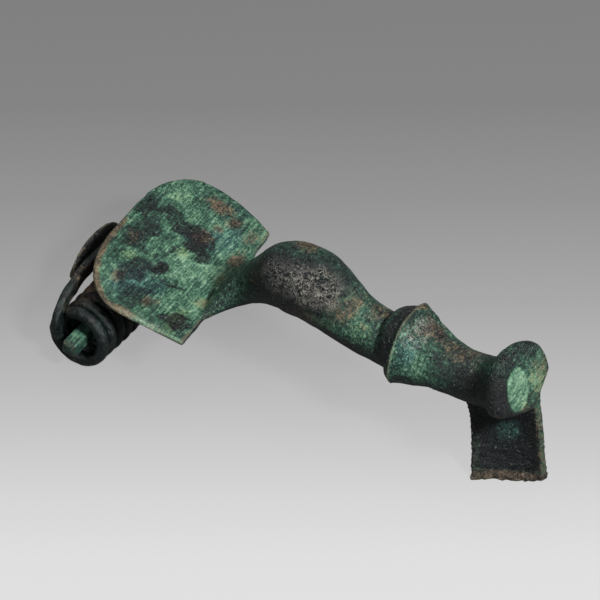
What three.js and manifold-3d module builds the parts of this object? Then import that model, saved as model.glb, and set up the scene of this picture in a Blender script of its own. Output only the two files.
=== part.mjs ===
// Roman bow brooch with a fan-shaped head plate, a half-round collar, a knobbed foot and a tall catch plate.
// Millimetres, +Z up, +X from the head towards the foot, +Y towards the far side of the spring.
import * as THREE from 'three';
import * as BufferGeometryUtils from 'three/addons/utils/BufferGeometryUtils.js';
import Module from 'manifold-3d';

const wasm = await Module();
wasm.setup();

// Head plate
const PLATE_DEPTH = 17.0;
const PLATE_NEAR_SIDE = { width: 11.6, swell: 0.2, straight: 8.8, power: 2 };
const PLATE_FAR_SIDE = { width: 11.5, swell: 2.6, straight: 10.0, power: 5 };
const PLATE_FRONT_SKEW_DEG = 3;
const PLATE_THICKNESS = 1.0;
const PLATE_FRONT_HEIGHT = 9.2;
const PLATE_RISE = 1.0;
const PLATE_DISH = 0.4;

// Spring, its chord and the rod through it
const WIRE_DIAMETER = 1.5;
const COIL_RADIUS = 3.25;
const COIL_PITCH = 1.72;
const COIL_TURNS = 6.5;
const COIL_CLEARANCE = 0.5;
const SPRING_BEHIND_EDGE = 12.4;
const SPRING_SKEW_DEG = 3.5;
const CHORD_RISE = 2.9;
const CHORD_SETBACK = 5.4;
const ROD_WIDTH = 2.0;
const ROD_PROTRUSION = 1.3;
const RUNNING_GAP = 0.3;

// Lug between the two halves of the spring, and the hook that holds the chord
const LUG_THICKNESS = 1.6;
const LUG_RADIUS = 2.5;
const LUG_FRONT_REACH = 3.6;
const LUG_BACK_REACH = 3.2;
const LUG_ROUND_START_DEG = 192;
const LUG_ROUND_DEG = 150;
const LUG_ROUND_STEPS = 10;
const LUG_ARM_TOP = 0.9;
const LUG_ARM_SLOPE = 0.2;
const LUG_ARM_BOTTOM = -0.3;
const HOOK_HALF_WIDTH = 5.5;
const HOOK_HEIGHT = 3.8;
const HOOK_THICKNESS = 0.7;
const HOOK_LEAN = 0.65;
const HOOK_FOOT_SHARE = 0.36;
const HOOK_SIDE_DROP = 0.94;
const HOOK_BASE_RISE = 1.3;

// Knob at the end of the foot: a thick disc, tilted up and turned a little to the near side, with its own
// reach to each side of its middle
const KNOB_X = 42.7;
const KNOB_Y = -0.9;
const KNOB_Z = 15.6;
const KNOB_PITCH_DEG = 19;
const KNOB_YAW_DEG = 7;
const KNOB_ROLL_DEG = -16;
const KNOB_REACH = { near: 5.1, far: 5.8, up: 7.1, down: 2.1 };
const KNOB_THICKNESS = 2.9;
const KNOB_SQUARE = 2.5;
const KNOB_EDGE_SQUARE = 3.2;
const KNOB_ARC_DEG = 173;
const KNOB_WORN_DIRECTION = [0.938, 0.293, -0.189];
const KNOB_WORN_REACH = 39.4;
const KNOB_STEPS = 8;

// Catch plate
const CATCH_TOP = 13.4;
const CATCH_START = 34.6;
const CATCH_TOP_LENGTH = 9.1;
const CATCH_EDGE_LENGTH = 7.9;
const CATCH_SPLAY = 3.6;
const CATCH_THICKNESS = 1.25;
const CATCH_HOLLOW = 0.4;
const CATCH_TWIST = 2.9;
const CATCH_CURL = 2.4;
const CATCH_CURL_LOST = 0.85;

const SPRING_X = -SPRING_BEHIND_EDGE;
const SPRING_Z = COIL_RADIUS + WIRE_DIAMETER / 2;
const HOOK_X = SPRING_X - CHORD_SETBACK - WIRE_DIAMETER / 2 - HOOK_THICKNESS / 2 - RUNNING_GAP;

// Sections of the bow from the head plate to the end of the foot: x and z of its middle line, half its width,
// how far it reaches above and below that line, and how square it is (2 is an ellipse).
const BOW_SECTIONS = [
  { x: -3.0, z: 9.2, wide: 9.2, up: 0.3, down: 0.3, square: 2 },
  { x: -1.2, z: 9.2, wide: 8.6, up: 0.45, down: 0.45, square: 2 },
  { x: 0.1, z: 9.5, wide: 6.9, up: 0.9, down: 0.8, square: 2 },
  { x: 1.3, z: 10.6, wide: 4.8, up: 1.7, down: 1.6, square: 2 },
  { x: 2.6, z: 11.9, wide: 3.4, up: 2.3, down: 2.2, square: 2 },
  { x: 4.4, z: 13.4, wide: 2.9, up: 2.7, down: 2.7, square: 2 },
  { x: 6.5, z: 15.3, wide: 3.5, up: 3.5, down: 3.7, square: 2 },
  { x: 9.0, z: 16.9, wide: 4.3, up: 4.7, down: 4.7, square: 2 },
  { x: 12.0, z: 17.3, wide: 4.5, up: 5.0, down: 4.6, square: 2 },
  { x: 15.0, z: 16.3, wide: 4.1, up: 4.6, down: 4.1, square: 2 },
  { x: 18.2, z: 15.0, wide: 3.6, up: 3.7, down: 3.6, square: 2 },
  { x: 21.4, z: 14.3, wide: 3.4, up: 3.5, down: 3.5, square: 2 },
  { x: 24.0, z: 14.2, wide: 3.4, up: 3.5, down: 3.5, square: 2 },
  { x: 24.9, z: 14.2, wide: 3.6, up: 3.8, down: 3.6, square: 2 },
  { x: 25.3, z: 14.3, wide: 4.45, up: 5.1, down: 4.0, square: 2.3 },
  { x: 26.0, z: 14.3, wide: 4.85, up: 5.75, down: 4.2, square: 2.4 },
  { x: 26.5, z: 14.3, wide: 4.95, up: 6.0, down: 4.2, square: 2.5 },
  { x: 27.4, z: 14.3, wide: 4.65, up: 5.8, down: 4.0, square: 2.3 },
  { x: 28.6, z: 14.3, wide: 4.3, up: 5.35, down: 3.8, square: 2.2 },
  { x: 30.0, z: 14.4, wide: 3.9, up: 4.4, down: 3.6, square: 2.1 },
  { x: 31.8, z: 14.4, wide: 3.5, up: 3.65, down: 3.4, square: 2 },
  { x: 34.5, z: 14.4, wide: 3.2, up: 3.35, down: 3.3, square: 2 },
  { x: 37.8, z: 14.7, wide: 3.1, up: 3.8, down: 3.2, square: 2 },
  { x: 40.4, z: 15.1, wide: 3.2, up: 4.5, down: 3.1, square: 2 },
  { x: 42.8, z: 15.6, wide: 3.0, up: 3.9, down: 2.9, square: 2 },
];
const STEPS_PER_SECTION = 2;
const SECTION_SIDES = 26;

// The bow's sections are rolled about its middle line between the hump and the foot, most at the collar.
const COLLAR_ROLL_DEG = 8;
const ROLL_START_X = 18;
const ROLL_MOST_X = 26;
const ROLL_END_X = 41;

// The chord's route from the end of the coil towards its middle: how far behind the coil, how far in from the
// coil's end and how high over the rod
const CHORD_ROUTE = [
  { behind: 0.15, inward: -0.05, over: 1.2 },
  { behind: 0.5, inward: 0.9, over: 2.3 },
  { behind: 1.0, inward: 2.6, over: CHORD_RISE + 0.05 },
  { behind: 1.5, inward: 5.2, over: CHORD_RISE + 0.1 },
  { behind: CHORD_SETBACK - COIL_RADIUS - 0.1, inward: 8.4, over: CHORD_RISE },
];
const POINTS_PER_TURN = 16;
const STEPS_PER_POINT = 1.1;

const bronzeGreen = new THREE.MeshStandardMaterial({ color: 0x3d6a57, roughness: 0.6, metalness: 0.35 });
const bronzeDark = new THREE.MeshStandardMaterial({ color: 0x23423f, roughness: 0.55, metalness: 0.4 });
const bronzePale = new THREE.MeshStandardMaterial({ color: 0x5d8a7c, roughness: 0.6, metalness: 0.3 });

function degrees(angle) {
  return (angle * Math.PI) / 180;
}

function smoothStep(start, end, value) {
  const t = Math.min(1, Math.max(0, (value - start) / (end - start)));
  return t * t * (3 - 2 * t);
}

// A rounded square's coordinate: a cosine or sine raised towards its ends, with its sign kept.
function rounded(value, power) {
  return Math.sign(value) * Math.abs(value) ** (2 / power);
}

// A closed body from rings of the same number of points, with its two ends closed to their middles.
function loftRings(rings) {
  const sides = rings[0].length;
  const points = rings.flat();
  const triangles = [];
  for (let i = 0; i + 1 < rings.length; i += 1) {
    for (let j = 0; j < sides; j += 1) {
      const k = (j + 1) % sides;
      const a = i * sides + j;
      const b = i * sides + k;
      triangles.push(a, b, b + sides, a, b + sides, a + sides);
    }
  }
  closeEnd(points, triangles, 0, sides, true);
  closeEnd(points, triangles, (rings.length - 1) * sides, sides, false);
  return meshFrom(points, triangles);
}

function closeEnd(points, triangles, first, sides, isStart) {
  const middle = new THREE.Vector3();
  for (let j = 0; j < sides; j += 1) {
    middle.add(points[first + j]);
  }
  const centre = points.push(middle.divideScalar(sides)) - 1;
  for (let j = 0; j < sides; j += 1) {
    const a = first + j;
    const b = first + ((j + 1) % sides);
    triangles.push(centre, isStart ? b : a, isStart ? a : b);
  }
}

// A closed plate between two grids of points, front and back, each a function of u and v from 0 to 1.
function plateBetween(front, back, across, along) {
  const points = [];
  for (const face of [front, back]) {
    for (let i = 0; i <= along; i += 1) {
      for (let j = 0; j <= across; j += 1) {
        points.push(face(j / across, i / along));
      }
    }
  }
  const row = across + 1;
  const layer = row * (along + 1);
  const triangles = [];
  const quad = (a, b, c, d) => triangles.push(a, b, c, a, c, d);
  for (let i = 0; i < along; i += 1) {
    for (let j = 0; j < across; j += 1) {
      const a = i * row + j;
      quad(a, a + 1, a + row + 1, a + row);
      quad(layer + a, layer + a + row, layer + a + row + 1, layer + a + 1);
    }
    const left = i * row;
    const right = left + across;
    quad(left, left + row, left + row + layer, left + layer);
    quad(right, right + layer, right + row + layer, right + row);
  }
  for (let j = 0; j < across; j += 1) {
    const last = along * row + j;
    quad(j, j + layer, j + layer + 1, j + 1);
    quad(last, last + 1, last + 1 + layer, last + layer);
  }
  return meshFrom(points, triangles);
}

function meshFrom(points, triangles) {
  const geometry = new THREE.BufferGeometry();
  const values = points.flatMap((p) => [p.x, p.y, p.z]);
  geometry.setAttribute('position', new THREE.Float32BufferAttribute(values, 3));
  geometry.setIndex(triangles);
  return geometry;
}

function solidFrom(geometry) {
  const bare = geometry.clone();
  bare.deleteAttribute('normal');
  bare.deleteAttribute('uv');
  const merged = BufferGeometryUtils.mergeVertices(bare, 1e-4);
  const vertProperties = new Float32Array(merged.getAttribute('position').array);
  const triVerts = new Uint32Array(merged.getIndex().array);
  return new wasm.Manifold(new wasm.Mesh({ numProp: 3, vertProperties, triVerts }));
}

function geometryFrom(solid) {
  const { vertProperties, triVerts } = solid.getMesh();
  const geometry = new THREE.BufferGeometry();
  geometry.setAttribute('position', new THREE.BufferAttribute(new Float32Array(vertProperties), 3));
  geometry.setIndex(new THREE.BufferAttribute(new Uint32Array(triVerts), 1));
  geometry.computeVertexNormals();
  return geometry;
}

function plateHeight(depth) {
  return PLATE_FRONT_HEIGHT + (PLATE_RISE * depth) / PLATE_DEPTH;
}

// The middle of the head plate's thickness: u runs from the near side to the far side, v from front to back.
function platePoint(u, v, lift) {
  const side = 2 * u - 1;
  const half = side < 0 ? PLATE_NEAR_SIDE : PLATE_FAR_SIDE;
  const corner = PLATE_DEPTH - half.straight;
  const depth = v * (half.straight + corner * Math.sqrt(1 - Math.abs(side) ** half.power));
  const swell = half.swell * Math.sin((Math.PI / 2) * Math.min(1, depth / half.straight));
  const height = plateHeight(depth) + PLATE_DISH * side * side;
  const y = side * (half.width + swell);
  const skew = Math.tan(degrees(PLATE_FRONT_SKEW_DEG)) * y * (1 - v);
  return new THREE.Vector3(-depth - skew, y, height + lift);
}

function headPlate() {
  const top = (u, v) => platePoint(u, v, PLATE_THICKNESS / 2);
  const bottom = (u, v) => platePoint(u, v, -PLATE_THICKNESS / 2);
  return plateBetween(top, bottom, 28, 9);
}

// One value of the bow's sections, read smoothly between the listed ones.
function sectionValue(key, t) {
  const last = BOW_SECTIONS.length - 1;
  const i = Math.min(Math.floor(t), last - 1);
  const at = (n) => BOW_SECTIONS[Math.min(last, Math.max(0, n))][key];
  const f = t - i;
  const slopeHere = (at(i + 1) - at(i - 1)) / 2;
  const slopeNext = (at(i + 2) - at(i)) / 2;
  const f2 = f * f;
  const f3 = f2 * f;
  return (2 * f3 - 3 * f2 + 1) * at(i) + (f3 - 2 * f2 + f) * slopeHere
    + (3 * f2 - 2 * f3) * at(i + 1) + (f3 - f2) * slopeNext;
}

// One ring of the bow: an ellipse-like outline set square to the middle line and rolled about it.
function bowRing(t) {
  const step = 0.02;
  const x = sectionValue('x', t);
  const z = sectionValue('z', t);
  const dx = sectionValue('x', t + step) - sectionValue('x', t - step);
  const dz = sectionValue('z', t + step) - sectionValue('z', t - step);
  const length = Math.hypot(dx, dz);
  const up = new THREE.Vector3(-dz / length, 0, dx / length);
  const rolled = smoothStep(ROLL_START_X, ROLL_MOST_X, x) - smoothStep(ROLL_MOST_X, ROLL_END_X, x);
  const roll = degrees(COLLAR_ROLL_DEG) * rolled;
  const side = new THREE.Vector3(0, 1, 0);
  const across = side.clone().multiplyScalar(Math.cos(roll)).addScaledVector(up, -Math.sin(roll));
  const above = up.clone().multiplyScalar(Math.cos(roll)).addScaledVector(side, Math.sin(roll));
  const wide = sectionValue('wide', t);
  const square = sectionValue('square', t);
  const ring = [];
  for (let j = 0; j < SECTION_SIDES; j += 1) {
    const angle = (2 * Math.PI * j) / SECTION_SIDES;
    const reach = Math.sin(angle) > 0 ? sectionValue('up', t) : sectionValue('down', t);
    const sideways = rounded(Math.cos(angle), square) * wide;
    const upwards = rounded(Math.sin(angle), square) * reach;
    const point = new THREE.Vector3(x, 0, z);
    ring.push(point.addScaledVector(across, sideways).addScaledVector(above, upwards));
  }
  return ring;
}

function bowBody() {
  const rings = [];
  const count = (BOW_SECTIONS.length - 1) * STEPS_PER_SECTION;
  for (let i = 0; i <= count; i += 1) {
    rings.push(bowRing(i / STEPS_PER_SECTION));
  }
  return loftRings(rings);
}

// The foot's knob: rings stacked along its tilted axis, each a rounded outline that shrinks to both faces.
function footKnob() {
  const pitch = degrees(KNOB_PITCH_DEG);
  const yaw = degrees(KNOB_YAW_DEG);
  const roll = degrees(KNOB_ROLL_DEG);
  const axis = new THREE.Vector3(Math.cos(yaw), -Math.sin(yaw), Math.tan(pitch)).normalize();
  const level = new THREE.Vector3(Math.sin(yaw), Math.cos(yaw), 0);
  const upright = axis.clone().cross(level);
  const across = level.clone().multiplyScalar(Math.cos(roll)).addScaledVector(upright, Math.sin(roll));
  const above = upright.clone().multiplyScalar(Math.cos(roll)).addScaledVector(level, -Math.sin(roll));
  const rings = [];
  for (let i = 0; i <= KNOB_STEPS; i += 1) {
    const fall = (i / KNOB_STEPS - 0.5) * degrees(KNOB_ARC_DEG);
    const shrink = rounded(Math.cos(fall), KNOB_EDGE_SQUARE);
    const along = rounded(Math.sin(fall), KNOB_EDGE_SQUARE) * (KNOB_THICKNESS / 2);
    const ring = [];
    for (let j = 0; j < SECTION_SIDES; j += 1) {
      const angle = (2 * Math.PI * j) / SECTION_SIDES;
      const a = rounded(Math.cos(angle), KNOB_SQUARE);
      const b = rounded(Math.sin(angle), KNOB_SQUARE);
      const sideways = a * shrink * (a < 0 ? KNOB_REACH.near : KNOB_REACH.far);
      const upwards = b * shrink * (b < 0 ? KNOB_REACH.down : KNOB_REACH.up);
      const point = new THREE.Vector3(KNOB_X, KNOB_Y, KNOB_Z).addScaledVector(axis, along);
      ring.push(point.addScaledVector(across, sideways).addScaledVector(above, upwards));
    }
    rings.push(ring);
  }
  return loftRings(rings);
}

// The catch plate hangs from the foot, turns away to the far side towards its end, and its lower edge
// curls towards the near side to form the seat of the pin. v runs from the foot down to the lower edge, and
// the near face is hollowed between its two upright rims.
function catchPoint(u, v, offset) {
  const length = CATCH_TOP_LENGTH + (CATCH_EDGE_LENGTH - CATCH_TOP_LENGTH) * v;
  const x = CATCH_START + length * u + CATCH_SPLAY * v;
  const z = CATCH_TOP * (1 - v);
  const curl = CATCH_CURL * (1 - CATCH_CURL_LOST * u) * smoothStep(0.35, 1.1, v);
  const depth = smoothStep(0.15, 0.4, v) * (1 - smoothStep(0.9, 1, v));
  const hollow = offset < 0 ? CATCH_HOLLOW * (1 - (2 * u - 1) ** 4) * depth : 0;
  const y = CATCH_TWIST * u - curl;
  return new THREE.Vector3(x, y + offset + hollow, z);
}

function catchPlate() {
  const half = CATCH_THICKNESS / 2;
  return plateBetween((u, v) => catchPoint(u, v, half), (u, v) => catchPoint(u, v, -half), 10, 14);
}

// A flat plate standing along the length of the brooch: an outline in x and z with an even thickness in y.
function uprightPlate(outline, thickness, middleY) {
  const shape = new THREE.Shape(outline.map(([x, z]) => new THREE.Vector2(x, z)));
  const geometry = new THREE.ExtrudeGeometry(shape, { depth: thickness, bevelEnabled: false, steps: 1 });
  geometry.rotateX(Math.PI / 2);
  geometry.translate(0, middleY + thickness / 2, 0);
  return geometry;
}

// The lug comes down from the head plate, goes round the rod, and reaches back under the chord to the hook.
function lugPlate() {
  const front = SPRING_BEHIND_EDGE - LUG_FRONT_REACH;
  const back = SPRING_BEHIND_EDGE + LUG_BACK_REACH;
  const outline = [[-front, plateHeight(front)], [-back, plateHeight(back)]];
  outline.push([SPRING_X - LUG_RADIUS, SPRING_Z + LUG_ARM_TOP + LUG_ARM_SLOPE]);
  outline.push([HOOK_X, SPRING_Z + LUG_ARM_TOP], [HOOK_X, SPRING_Z + LUG_ARM_BOTTOM]);
  for (let i = 0; i <= LUG_ROUND_STEPS; i += 1) {
    const angle = degrees(LUG_ROUND_START_DEG + (LUG_ROUND_DEG * i) / LUG_ROUND_STEPS);
    outline.push([SPRING_X + LUG_RADIUS * Math.cos(angle), SPRING_Z + LUG_RADIUS * Math.sin(angle)]);
  }
  return uprightPlate(outline, LUG_THICKNESS, 0);
}

// The hook is a broad leaf that stands behind the chord and leans back at its top.
function chordHook() {
  const half = HOOK_THICKNESS / 2;
  const fullRise = (1 - HOOK_FOOT_SHARE) * HOOK_HEIGHT;
  const point = (u, v, offset) => {
    const side = 2 * u - 1;
    const rise = (v - HOOK_FOOT_SHARE) * HOOK_HEIGHT * Math.sqrt(1 - HOOK_SIDE_DROP * side * side);
    const lean = HOOK_LEAN * (Math.max(0, rise) / fullRise) ** 2;
    const z = SPRING_Z + HOOK_BASE_RISE + rise;
    return new THREE.Vector3(HOOK_X - lean + offset, HOOK_HALF_WIDTH * side, z);
  };
  return plateBetween((u, v) => point(u, v, half), (u, v) => point(u, v, -half), 14, 6);
}

function rodHole() {
  const width = ROD_WIDTH + 2 * RUNNING_GAP;
  const hole = new THREE.BoxGeometry(width, 4 * LUG_THICKNESS, width);
  hole.rotateZ(degrees(-SPRING_SKEW_DEG));
  hole.translate(SPRING_X, 0, SPRING_Z);
  return hole;
}

// The knob's far lower corner is worn away to a plane.
function wornKnob() {
  return solidFrom(footKnob()).trimByPlane(KNOB_WORN_DIRECTION.map((value) => -value), -KNOB_WORN_REACH);
}

function castBow() {
  let solid = wornKnob();
  for (const piece of [headPlate(), bowBody(), catchPlate(), lugPlate(), chordHook()]) {
    solid = solid.add(solidFrom(piece));
  }
  return geometryFrom(solid.subtract(solidFrom(rodHole())));
}

// Points of the near half of the wire, from its broken end beside the lug outwards to the chord's middle.
function wireHalf() {
  const points = [];
  const innerY = LUG_THICKNESS / 2 + RUNNING_GAP + WIRE_DIAMETER / 2 + COIL_CLEARANCE;
  const count = Math.round(COIL_TURNS * POINTS_PER_TURN);
  for (let i = 0; i <= count; i += 1) {
    const turn = i / POINTS_PER_TURN;
    const angle = 2 * Math.PI * (turn - COIL_TURNS);
    const y = innerY + COIL_PITCH * turn;
    points.push(new THREE.Vector3(-COIL_RADIUS * Math.cos(angle), -y, COIL_RADIUS * Math.sin(angle)));
  }
  const end = innerY + COIL_PITCH * COIL_TURNS;
  for (const { behind, inward, over } of CHORD_ROUTE) {
    points.push(new THREE.Vector3(-COIL_RADIUS - behind, -end + inward, over));
  }
  return points;
}

function springWire() {
  const near = wireHalf();
  const far = near.map((p) => new THREE.Vector3(p.x, -p.y, p.z)).reverse();
  const path = [...near, new THREE.Vector3(-CHORD_SETBACK, 0, CHORD_RISE), ...far];
  const curve = new THREE.CatmullRomCurve3(path, false, 'centripetal');
  const section = new THREE.Shape();
  section.absellipse(0, 0, WIRE_DIAMETER / 2, WIRE_DIAMETER / 2, 0, 2 * Math.PI);
  const steps = Math.round(path.length * STEPS_PER_POINT);
  const options = { steps, curveSegments: 4, bevelEnabled: false, extrudePath: curve };
  return new THREE.ExtrudeGeometry(section, options);
}

function axisRod() {
  const coil = WIRE_DIAMETER + COIL_CLEARANCE + COIL_PITCH * COIL_TURNS;
  const half = LUG_THICKNESS / 2 + RUNNING_GAP + coil + ROD_PROTRUSION;
  return new THREE.BoxGeometry(ROD_WIDTH, 2 * half, ROD_WIDTH);
}

function namedMesh(name, geometry, material) {
  const mesh = new THREE.Mesh(geometry, material);
  mesh.name = name;
  return mesh;
}

const springGroup = new THREE.Group();
springGroup.position.set(SPRING_X, 0, SPRING_Z);
springGroup.rotation.z = degrees(-SPRING_SKEW_DEG);
springGroup.add(namedMesh('spring_wire', springWire(), bronzeDark));
springGroup.add(namedMesh('axis_rod', axisRod(), bronzePale));

const brooch = new THREE.Group();
brooch.add(namedMesh('cast_bow', castBow(), bronzeGreen));
brooch.add(springGroup);

// The origin is under the middle of the brooch, on the level that it rests on.
brooch.updateMatrixWorld(true);
const box = new THREE.Box3().setFromObject(brooch, true);
const middle = box.getCenter(new THREE.Vector3());
brooch.position.set(-middle.x, -middle.y, -box.min.z);
brooch.updateMatrixWorld(true);

export default brooch;
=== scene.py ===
import math

import bpy
import numpy as np
from mathutils import Matrix, Vector


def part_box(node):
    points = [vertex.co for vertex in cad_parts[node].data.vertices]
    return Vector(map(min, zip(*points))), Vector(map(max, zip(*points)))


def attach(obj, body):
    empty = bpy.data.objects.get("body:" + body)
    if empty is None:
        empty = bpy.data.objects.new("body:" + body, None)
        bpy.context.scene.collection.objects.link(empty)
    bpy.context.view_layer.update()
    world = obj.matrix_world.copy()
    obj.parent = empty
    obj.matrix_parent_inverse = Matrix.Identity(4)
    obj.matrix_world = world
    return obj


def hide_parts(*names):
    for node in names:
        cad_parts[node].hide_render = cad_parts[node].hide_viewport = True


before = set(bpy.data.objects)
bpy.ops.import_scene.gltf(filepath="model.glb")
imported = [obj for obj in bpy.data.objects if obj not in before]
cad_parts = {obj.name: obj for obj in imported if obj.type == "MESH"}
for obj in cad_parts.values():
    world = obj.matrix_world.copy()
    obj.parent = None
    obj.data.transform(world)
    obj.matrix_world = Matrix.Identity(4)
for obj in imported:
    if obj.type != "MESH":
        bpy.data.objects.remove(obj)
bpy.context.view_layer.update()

# All shapes are worked out in millimetres, with x from the head plate's front edge towards the foot,
# y towards the far end of the spring and z up from the level that the brooch rests on.
MM = 0.001

# Head plate
PLATE_DEPTH = 17.0
NEAR_SIDE = dict(width=11.6, swell=0.2, straight=8.8, power=2.0)
FAR_SIDE = dict(width=11.5, swell=2.6, straight=10.0, power=5.0)
PLATE_FRONT_SKEW = math.radians(3)
PLATE_THICKNESS = 0.95
PLATE_FRONT_HEIGHT = 9.2
PLATE_RISE = 1.0
PLATE_DISH = 0.4
PLATE_RIM = 1.1

# Spring, chord and rod
WIRE_RADIUS = 0.75
COIL_RADIUS = 3.25
COIL_PITCH = 1.72
COIL_TURNS = 6.5
COIL_CLEARANCE = 0.5
SPRING_X = -12.4
SPRING_Z = COIL_RADIUS + WIRE_RADIUS
SPRING_SKEW = math.radians(-3.5)
CHORD_RISE = 2.9
CHORD_SETBACK = 5.4
CHORD_STEPS = 40
CHORD_SHIFT = np.array([0.28, 0, -0.08])
ROD_HALF_WIDTH = 1.0
ROD_PROTRUSION = 1.3
RUNNING_GAP = 0.3

# Lug and hook
LUG_THICKNESS = 1.6
LUG_RADIUS = 2.5
LUG_FRONT_REACH = 3.6
LUG_BACK_REACH = 3.2
LUG_ROUND = np.radians(np.linspace(192, 342, 11))
LUG_ARM_TOP = 0.9
LUG_ARM_SLOPE = 0.2
LUG_ARM_BOTTOM = -0.3
HOOK_HALF_WIDTH = 5.5
HOOK_HEIGHT = 3.8
HOOK_THICKNESS = 0.7
HOOK_LEAN = 0.65
HOOK_FOOT_SHARE = 0.36
HOOK_SIDE_DROP = 0.94
HOOK_BASE_RISE = 1.3
HOOK_EDGE_LOST = 0.45
ROD_HALF_LENGTH = (LUG_THICKNESS / 2 + RUNNING_GAP + 2 * WIRE_RADIUS + COIL_CLEARANCE
                   + COIL_PITCH * COIL_TURNS + ROD_PROTRUSION)
ROD_REACH_BACK = -SPRING_X + ROD_HALF_WIDTH * math.cos(SPRING_SKEW) - ROD_HALF_LENGTH * math.sin(SPRING_SKEW)
HOOK_X = SPRING_X - CHORD_SETBACK - WIRE_RADIUS - HOOK_THICKNESS / 2 - RUNNING_GAP

# Catch plate
CATCH_TOP = 13.4
CATCH_START = 34.6
CATCH_TOP_LENGTH = 9.1
CATCH_EDGE_LENGTH = 7.9
CATCH_SPLAY = 3.6
CATCH_THICKNESS = 1.2
CATCH_TWIST = 2.9
CATCH_CURL = 2.4
CATCH_CURL_LOST = 0.85
CATCH_HOLLOW = 0.4

# Bow: middle line x and z, half width, reach above and below, squareness, from the head to the knob
BOW_SECTIONS = np.array([
    (-3.0, 9.2, 9.2, 0.3, 0.3, 2.0),
    (-1.2, 9.2, 8.6, 0.45, 0.45, 2.0),
    (0.1, 9.5, 6.9, 0.9, 0.8, 2.0),
    (1.3, 10.6, 4.8, 1.7, 1.6, 2.0),
    (2.6, 11.9, 3.4, 2.3, 2.2, 2.0),
    (4.4, 13.4, 2.9, 2.7, 2.7, 2.0),
    (6.5, 15.3, 3.5, 3.5, 3.7, 2.0),
    (9.0, 16.9, 4.3, 4.7, 4.7, 2.0),
    (12.0, 17.3, 4.5, 5.0, 4.6, 2.0),
    (15.0, 16.3, 4.1, 4.6, 4.1, 2.0),
    (18.2, 15.0, 3.6, 3.7, 3.6, 2.0),
    (21.4, 14.3, 3.4, 3.5, 3.5, 2.0),
    (24.0, 14.2, 3.4, 3.5, 3.5, 2.0),
    (24.9, 14.2, 3.6, 3.8, 3.6, 2.0),
    (25.3, 14.3, 4.45, 5.1, 4.0, 2.3),
    (26.0, 14.3, 4.85, 5.75, 4.2, 2.4),
    (26.5, 14.3, 4.95, 6.0, 4.2, 2.5),
    (27.4, 14.3, 4.65, 5.8, 4.0, 2.3),
    (28.6, 14.3, 4.3, 5.35, 3.8, 2.2),
    (30.0, 14.4, 3.9, 4.4, 3.6, 2.1),
    (31.8, 14.4, 3.5, 3.65, 3.4, 2.0),
    (34.5, 14.4, 3.2, 3.35, 3.3, 2.0),
    (37.8, 14.7, 3.1, 3.8, 3.2, 2.0),
    (40.4, 15.1, 3.2, 4.5, 3.1, 2.0),
    (42.8, 15.6, 3.0, 3.9, 2.9, 2.0),
])
COLLAR_ROLL = math.radians(8)
ROLL_START_X = 18.0
ROLL_MOST_X = 26.0
COLLAR_RIM = 26.45
BOW_CORE_HEIGHT = 14.3
ROLL_END_X = 41.0

# Foot knob: a thick disc, tilted up and turned a little to the near side, with a worn facet
KNOB_CENTRE = (42.7, -0.9, 15.6)
KNOB_PITCH = math.radians(19)
KNOB_YAW = math.radians(7)
KNOB_ROLL = math.radians(-16)
KNOB_NEAR = 5.1
KNOB_FAR = 5.8
KNOB_UP = 7.1
KNOB_DOWN = 2.1
KNOB_HALF_THICKNESS = 1.45
KNOB_SQUARE = 2.5
KNOB_EDGE_SQUARE = 3.2
KNOB_WORN_DIRECTION = np.array([0.938, 0.293, -0.189])
KNOB_WORN_REACH = 39.4
FACET_CENTRE = np.array([43.2, -1.75, 17.9])
FACET_NORMAL = np.array([0.915, -0.163, 0.369])
FACET_HALF_LENGTH = 3.0
FACET_HALF_WIDTH = 1.9
FACET_LENGTHWISE = np.array([-0.3, 0.25, 0.92])

# Surface grain of the finished meshes
VOXEL = 0.186

# View of the photograph
VIEW_AZIMUTH = math.radians(28.3)
VIEW_ELEVATION = math.radians(44.7)
VIEW_ROLL = math.radians(4.6)
VIEW_CENTRE = (10.58, 0.0, 13.68)
VIEW_WIDTH = 75.0
VIEW_DISTANCE = 3000.0

# Floor: its greys from the far edge of the picture to the near one, where these edges lie in metres from the
# origin along the view, the paper's own grey, and how much of what the camera sees of it is an even glow
FLOOR_GREYS = ((0.0, 0.205), (0.167, 0.220), (0.333, 0.294), (0.5, 0.402), (0.667, 0.562), (0.833, 0.737),
               (0.93, 0.812), (1.0, 0.824))
FLOOR_FAR = -0.068
FLOOR_NEAR = 0.038
FLOOR_HALF_WIDTH = 1.5
FLOOR_PAPER = 0.12
FLOOR_GLOW = 0.85
VIEW_TOWARDS_NEAR = math.radians(55.2)

shift_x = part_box("axis_rod")[0][0] / MM + ROD_REACH_BACK


def smooth_step(start, end, value):
    """0 before start, 1 after end, and a smooth S between them."""
    t = np.clip((value - start) / (end - start), 0.0, 1.0)
    return t * t * (3.0 - 2.0 * t)


def lattice(ix, iy, iz, seed):
    """A fixed number from -1 to 1 for each point of a whole-number lattice."""
    h = (ix * 73856093) ^ (iy * 19349663) ^ (iz * 83492791) ^ (seed * 2654435761)
    h = (h ^ (h >> 13)) * 1274126177
    h = (h ^ (h >> 16)) & 0xFFFFFF
    return h / float(0x7FFFFF) - 1.0


def value_noise(points, size, seed):
    """Numbers on a lattice of the given size, blended smoothly between its points."""
    p = points / size
    cell = np.floor(p).astype(np.int64)
    f = p - cell
    f = f * f * (3.0 - 2.0 * f)
    total = np.zeros(len(points))
    for corner in range(8):
        dx, dy, dz = corner & 1, (corner >> 1) & 1, corner >> 2
        weight = (f[:, 0] if dx else 1 - f[:, 0]) * (f[:, 1] if dy else 1 - f[:, 1])
        weight = weight * (f[:, 2] if dz else 1 - f[:, 2])
        total += weight * lattice(cell[:, 0] + dx, cell[:, 1] + dy, cell[:, 2] + dz, seed)
    return total


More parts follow.
